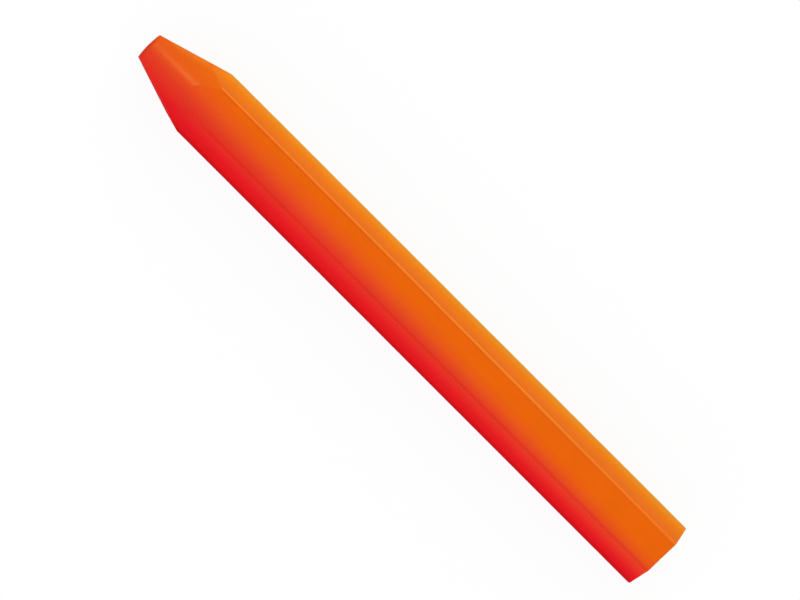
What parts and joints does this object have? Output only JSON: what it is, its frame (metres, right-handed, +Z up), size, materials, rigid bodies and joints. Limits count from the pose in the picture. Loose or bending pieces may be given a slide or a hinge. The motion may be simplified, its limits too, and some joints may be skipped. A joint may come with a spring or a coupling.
{
  "type": "marking chalk",
  "caption": "Solid hexagonal marking chalk stick in orange wax, with rounded ridges and a softly faceted taper to a flat writing tip.",
  "frame": {"origin": "middle of the stick's length on the flat that it lies on", "axes": "+X along the stick from the tail to the writing tip, +Z up, square to the flat that it lies on, +Y across the ridges"},
  "size_m": [0.12, 0.0132, 0.0115],
  "materials": {
    "pigmented_wax": "satin cast wax, orange shading to red along one side"
  },
  "bodies": {
    "root": {"chalk_stick": "pigmented_wax"}
  },
  "joints": []
}
